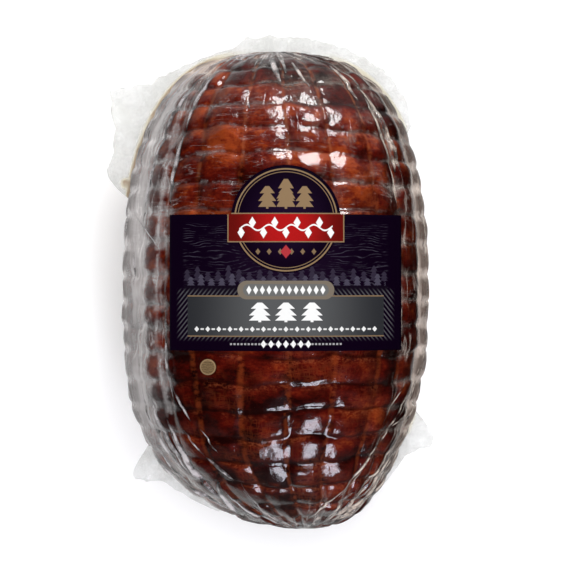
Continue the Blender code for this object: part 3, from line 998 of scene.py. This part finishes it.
def folded_film():
    """Film folded on itself, which looks pale and milky: greyish on the -X side, cream on the +X side."""
    material, tree = new_finish("folded_film")
    place = object_place(tree)
    patchy = speckle(place, 130.0, 3.0, 0.6)
    film = film_surface(bumps(patchy, 0.7, 0.8 * MM), 1.5, 0.4)
    spot = linked("ShaderNodeSeparateXYZ", {0: place})
    right = band(spot.outputs["X"], -0.03, 0.05)
    low = band(spot.outputs["Y"], -0.06, -0.09)
    dense = total(0.40, (right, 0.08), (low, 0.14))
    milky = product(band(patchy, 0.36, 0.62), band(tint_of(tree, "body"), 0.0, 0.9), dense)
    shade = mix_colours(right, (226, 220, 222), (230, 214, 200))
    show(mix_shaders(milky, film, diffuse(tree, shade)))
    return material


# Print ----------------------------------------------------

INK_EDGE = 0.10  # millimetres over which a printed shape's edge softens
TAN = (122, 100, 74)
WHITE = (212, 212, 211)
PLUM_BLACK = (8, 0, 14)
DARK_RED = (84, 9, 6)
BRIGHT_RED = (150, 17, 18)


def near(value, middle, half, edge=INK_EDGE):
    return band(away_from(value, middle), half + edge, half - edge)


def between(value, low, high, edge=INK_EDGE):
    return near(value, (low + high) / 2.0, (high - low) / 2.0, edge)


class Print:
    """Flat shapes printed one over another, placed in millimetres from a paper's middle."""

    def __init__(self, tree, middle, ground):
        mapping = linked("ShaderNodeMapping", {"Vector": object_place(tree)})
        mapping.inputs["Location"].default_value = (-middle[0] / MM, -middle[1] / MM, 0.0)
        mapping.inputs["Scale"].default_value = (1.0 / MM, 1.0 / MM, 0.0)
        self.place = mapping.outputs[0]
        split = linked("ShaderNodeSeparateXYZ", {0: self.place})
        self.x = split.outputs["X"]
        self.y = split.outputs["Y"]
        self.ink = ground

    def box(self, left, right, low, high, edge=INK_EDGE):
        return product(between(self.x, left, right, edge), between(self.y, low, high, edge))

    def away(self, x, y):
        """Distance from a point."""
        ends = {0: self.place, 1: (x, y, 0.0)}
        return linked("ShaderNodeVectorMath", ends, operation="DISTANCE").outputs["Value"]

    def disc(self, x, y, radius):
        return band(self.away(x, y), radius + INK_EDGE, radius - INK_EDGE)

    def ring(self, x, y, radius, width):
        return near(self.away(x, y), radius, width / 2.0)

    def pill(self, left, right, low, high):
        """A bar with round ends."""
        half = (high - low) / 2.0
        past = away_from(self.x, (left + right) / 2.0)
        past = calc("MAXIMUM", calc("SUBTRACT", past, (right - left) / 2.0 - half), 0.0)
        up = calc("SUBTRACT", self.y, (low + high) / 2.0)
        far = calc("SQRT", total(0.0, (past, past), (up, up)))
        return band(far, half + INK_EDGE, half - INK_EDGE)

    def cells(self, left, pitch):
        """Cell number and distance from the cell's middle along a row that starts at left."""
        cell = calc("DIVIDE", calc("SUBTRACT", self.x, left), pitch)
        return calc("FLOOR", cell), product(away_from(calc("FRACT", cell), 0.5), pitch)

    def lozenges(self, left, right, level, pitch, half_width, half_height):
        _, aside = self.cells(left, pitch)
        up = away_from(self.y, level)
        far = total(0.0, (aside, 1.0 / half_width), (up, 1.0 / half_height))
        return product(band(far, 1.0 + INK_EDGE, 1.0 - INK_EDGE), between(self.x, left, right))

    def dashes(self, left, right, level, pitch, half_width, half_height):
        _, aside = self.cells(left, pitch)
        shape = product(near(aside, 0.0, half_width), near(self.y, level, half_height))
        return product(shape, between(self.x, left, right))

    def firs(self, left, right, foot, pitch, height, half_width, uneven=0.0):
        """A row of fir trees with three tiers of boughs, less tall here and there by as much as uneven."""
        cell, aside = self.cells(left, pitch)
        chance = linked("ShaderNodeTexWhiteNoise", {"W": cell}, noise_dimensions="1D")
        tall = total(height, (chance.outputs["Value"], -uneven * height))
        up = calc("DIVIDE", calc("SUBTRACT", self.y, foot), tall)
        down = calc("SUBTRACT", 1.0, up)
        tier = calc("FRACT", product(down, 2.999))
        spread = product(total(0.15, (tier, 0.45), (down, 0.45)), half_width)
        boughs = band(calc("SUBTRACT", spread, aside), -INK_EDGE, INK_EDGE)
        boughs = product(boughs, band(down, 0.01, 0.05), band(up, 0.07, 0.09))
        trunk = product(near(aside, 0.0, half_width * 0.12), near(up, 0.05, 0.05, 0.01))
        return product(calc("MAXIMUM", boughs, trunk), between(self.x, left, right))

    def lay(self, mask, shade, strength=1.0):
        """Prints a shape in a colour over all that lies there."""
        self.ink = mix_colours(product(mask, strength), self.ink, shade)


def print_hills(art):
    """Hills in fine grey lines, and firs along their foot."""
    ground = art.box(-55.0, 55.0, -7.0, 31.5, 1.2)
    flat = linked("ShaderNodeMapping", {"Vector": art.place, "Scale": (0.4, 1.0, 1.0)}).outputs[0]
    level = total(art.y, (speckle(flat, 0.07, 3.0, 0.5), 15.0))
    line = near(calc("FRACT", calc("DIVIDE", level, 1.5)), 0.5, 0.05, 0.13)
    broken = band(speckle(flat, 0.30, 3.0, 0.6), 0.42, 0.60)
    art.lay(product(line, ground, broken), (88, 84, 98), 0.5)
    for left, foot, height, shade in ((-56.0, 0.5, 9.0, (44, 38, 52)), (-54.0, -2.0, 7.0, (66, 62, 76))):
        art.lay(art.firs(left, -left, foot, 5.6, height, 2.3, 0.45), shade, 0.8)
    art.lay(art.box(-55.0, 55.0, -7.0, -1.6, 0.5), (12, 5, 17))


def print_crest(art):
    art.lay(art.disc(0.0, CREST_MIDDLE, 28.6), PLUM_BLACK)
    art.lay(band(art.away(0.0, CREST_MIDDLE), 27.0, 6.0), (22, 7, 32), 0.8)
    art.lay(art.ring(0.0, CREST_MIDDLE, 27.4, 0.8), TAN)
    art.lay(art.ring(0.0, CREST_MIDDLE, 25.8, 0.4), TAN, 0.9)
    art.lay(art.firs(-15.0, 15.0, 39.6, 10.0, 12.5, 5.4), TAN)
    art.lay(art.firs(-5.0, 5.0, 39.6, 10.0, 16.5, 5.6), TAN)
    art.lay(art.lozenges(-18.0, 18.0, 16.6, 6.0, 1.3, 1.7), TAN, 0.8)
    art.lay(art.lozenges(-3.0, 3.0, 16.6, 6.0, 3.0, 3.6), (150, 44, 50))


def print_band(art):
    """The red band with its leafy spray."""
    red = art.box(-30.8, 30.8, 22.2, 36.8)
    art.lay(art.box(-31.4, 31.4, 21.6, 37.4), TAN)
    art.lay(red, DARK_RED)
    art.lay(product(red, band(art.away(0.0, 30.0), 30.0, 6.0)), BRIGHT_RED)
    vine = product(calc("SINE", product(art.x, math.pi / 6.0)), 1.5)
    vine = near(calc("SUBTRACT", art.y, vine), 29.5, 0.42)
    art.lay(product(vine, art.box(-25.0, 25.0, 24.0, 35.0)), WHITE)
    for left, level in ((-24.0, 32.2), (-30.0, 26.8)):
        art.lay(art.lozenges(left, -left, level, 12.0, 1.9, 3.1), WHITE)


def print_panel(art):
    """The grey panel with its hatched ends."""
    lean = total(calc("ABSOLUTE", art.x), (art.y, 0.8))
    hatch = near(calc("FRACT", calc("DIVIDE", lean, 2.4)), 0.5, 0.17, 0.10)
    art.lay(product(hatch, art.box(-58.0, 58.0, -30.5, -4.0, 1.5)), (86, 86, 90), 0.55)
    panel = art.box(-53.0, 53.0, -28.6, -7.0)
    art.lay(panel, (36, 37, 40))
    art.lay(product(panel, band(calc("ABSOLUTE", art.x), 54.0, 8.0)), (74, 75, 76))
    for level in (-7.2, -28.8):
        art.lay(art.box(-53.0, 53.0, level - 0.3, level + 0.3), TAN, 0.85)
    art.lay(art.firs(-21.0, 21.0, -21.2, 14.0, 10.8, 6.4), WHITE)
    art.lay(art.lozenges(-51.0, 51.0, -25.0, 6.0, 1.3, 1.5), WHITE, 0.9)
    art.lay(art.dashes(-48.0, 48.0, -25.0, 6.0, 0.9, 0.45), WHITE, 0.8)


def print_bar(art):
    """The bar over the panel and the row below it."""
    art.lay(art.pill(-26.0, 26.0, -9.0, 1.0), (104, 95, 84))
    art.lay(art.pill(-23.0, 23.0, -7.2, -0.8), (92, 92, 91))
    art.lay(art.lozenges(-21.6, 21.6, -4.0, 3.6, 1.35, 2.4), WHITE)
    art.lay(art.lozenges(-14.0, 14.0, -33.0, 4.0, 1.5, 2.1), WHITE)
    art.lay(art.dashes(-30.4, 30.4, -33.0, 1.9, 0.55, 0.5), (190, 188, 190), 0.55)


def printed_label():
    """A generic forest label: a round crest with firs and a red band, hills, and a grey panel below."""
    material, tree = new_finish("printed_label")
    art = Print(tree, LABEL_MIDDLE, PLUM_BLACK)
    art.lay(band(art.away(0.0, 16.0), 46.0, 4.0), (20, 6, 27), 0.75)
    print_hills(art)
    print_crest(art)
    print_band(art)
    print_panel(art)
    print_bar(art)
    show(plain_surface(art.ink, 0.5, 0.03))
    return material


def tan_paper():
    """Tan paper with a fine brown engraving of wavy lines, a paler ring near its rim as a painted highlight,
    and a dark ring at its edge as painted shadow.
    """
    material, tree = new_finish("tan_paper")
    art = Print(tree, STICKER_MIDDLE, (96, 78, 54))
    fibres = speckle(art.place, 1.6, 3.0, 0.6)
    art.lay(band(fibres, 0.35, 0.7), (122, 101, 72), 0.8)
    wavy = total(art.y, (speckle(art.place, 0.5, 2.0), 1.6))
    lines = near(calc("FRACT", calc("DIVIDE", wavy, 0.95)), 0.5, 0.16, 0.14)
    art.lay(product(lines, art.disc(0.0, 0.0, 3.4)), (56, 42, 26), 0.85)
    # Painted highlight: a paler ring along the embossed rim
    art.lay(art.ring(0.0, 0.0, 3.95, 0.35), (140, 114, 86), 0.9)
    # Painted shadow: a dark ring at the sticker's edge
    art.lay(art.ring(0.0, 0.0, 4.5, 0.3), (60, 36, 22), 0.9)
    show(plain_surface(art.ink, 0.6, 0.1, Normal=bumps(fibres, 0.3, 0.2 * MM)))
    return material


# Camera, lights and floor ---------------------------------

CAMERA_LENS = 133.3
CAMERA_HEIGHT = WIDEST_Z + 1.19
CAMERA_PLACE = (4.5 * MM, 9.4 * MM)
LIT_POINT = Vector((0.0, 0.0, WIDEST_Z))
FLOOR_GLOW = 0.12  # the floor is a light table that is lit faintly from below
# The round softboxes over both ends: end, radiance, shade, and their bright core's width and height
END_SOFTBOXES = (
    (1.0, 2.35, (0.98, 0.98, 0.98), (0.40, 0.46)),
    (-1.0, 1.5, (0.88, 0.88, 1.0), (0.34, 0.40)),
)
CORE_BRIGHTER = 4.2


def add_camera():
    start()
    bpy.ops.object.camera_add(location=(*CAMERA_PLACE, CAMERA_HEIGHT), rotation=(0.0, 0.0, 0.0))
    camera = bpy.context.object
    camera.data.lens = CAMERA_LENS
    camera.data.sensor_width = 36.0
    camera.data.dof.use_dof = False
    bpy.context.scene.camera = camera


def add_softbox(name, direction, distance, size, radiance, shade, round_face=False):
    """A softbox that faces the ham, seen from it in this direction."""
    start()
    width, height = size
    way = Vector(direction).normalized()
    bpy.ops.object.light_add(type="AREA", location=LIT_POINT + way * distance)
    box = bpy.context.object
    box.name = name
    box.rotation_mode = "QUATERNION"
    box.rotation_quaternion = way.to_track_quat("Z", "Y")
    box.data.shape = "ELLIPSE" if round_face else "RECTANGLE"
    box.data.size = width
    box.data.size_y = height
    face = width * height * (math.pi / 4.0 if round_face else 1.0)
    box.data.energy = radiance * math.pi * face
    box.data.color = shade
    box.visible_camera = False
    return box


def add_floor():
    start()
    bpy.ops.mesh.primitive_plane_add(size=12.0, location=(0.0, 0.0, -0.0002))
    floor = bpy.context.object
    floor.name = "floor"
    floor.visible_glossy = False
    material, tree = new_finish("floor_paper")
    glow = node(tree, "ShaderNodeEmission", {"Strength": FLOOR_GLOW}).outputs[0]
    paper = diffuse(tree, colour(250, 250, 250))
    show(linked("ShaderNodeAddShader", {0: paper, 1: glow}).outputs[0])
    floor.data.materials.append(material)


def set_world():
    """A pale studio all round. What the film mirrors is dark overhead and on the +X side, pale low at -X."""
    scene = bpy.context.scene
    if scene.world is None:
        scene.world = bpy.data.worlds.new("room")
    scene.world.use_nodes = True
    tree = scene.world.node_tree
    way = linked("ShaderNodeSeparateXYZ", {0: node(tree, "ShaderNodeTexCoord").outputs["Generated"]})
    across, lengthwise, up = way.outputs["X"], way.outputs["Y"], way.outputs["Z"]
    table = product(band(up, 0.15, -0.45), band(across, 0.5, -0.3))
    beneath = product(band(up, -0.55, -0.80), 0.55)
    ends = total(band(lengthwise, 0.35, 0.75), (band(lengthwise, -0.35, -0.75), 0.2))
    ends = product(ends, band(up, 0.72, 0.45), 0.28)
    mirrored = calc("MAXIMUM", table, calc("MAXIMUM", beneath, ends))
    horizon = total(0.01, (band(up, 0.55, 0.0), 1.0))
    path = node(tree, "ShaderNodeLightPath")
    light = linked("ShaderNodeMix", {0: path.outputs["Is Glossy Ray"], 2: horizon, 3: mirrored})
    strength = calc("MAXIMUM", light.outputs[0], path.outputs["Is Camera Ray"])
    background = tree.nodes["Background"]
    tree.links.new(strength, background.inputs["Strength"])
    background.inputs["Color"].default_value = (1.0, 1.0, 1.0, 1.0)
    scene.view_settings.view_transform = "Standard"


def add_lights():
    for end, radiance, shade, core in END_SOFTBOXES:
        toward = (0.26, 0.78 * end, 0.72)
        add_softbox("end_softbox", toward, 1.10, (0.58, 0.50), radiance, shade, True)
        add_softbox("end_softbox_core", toward, 1.08, core, CORE_BRIGHTER * radiance, shade, True)
    left = add_softbox("left_softbox", (-0.98, 0.0, 0.09), 0.84, (1.2, 0.26), 1.6, (1.0, 0.97, 0.98))
    overhead = add_softbox("overhead_fill", (0.0, 0.0, 1.0), 1.6, (2.2, 2.2), 2.3, (1.0, 1.0, 1.0))
    for box in (left, overhead):
        box.visible_glossy = False


add_camera()
add_lights()
add_floor()
set_world()

finish_piece(ball(252, 208, meat_points), "meat", "smoked_ham", smoked_meat(), "ham")
finish_piece(ball(288, 276, film_points), "film_skin", "clear_film", clear_film())
finish_piece(add_ears(), "film_ears", "clear_film", loose_film(), "film_flange")
finish_piece(add_folds(), "film_folds", "clear_film", folded_film())
finish_piece(add_label(), "printed_label", "printed_label", printed_label(), "label")
finish_piece(add_sticker(), "paper_sticker", "tan_paper", tan_paper(), "round_sticker")
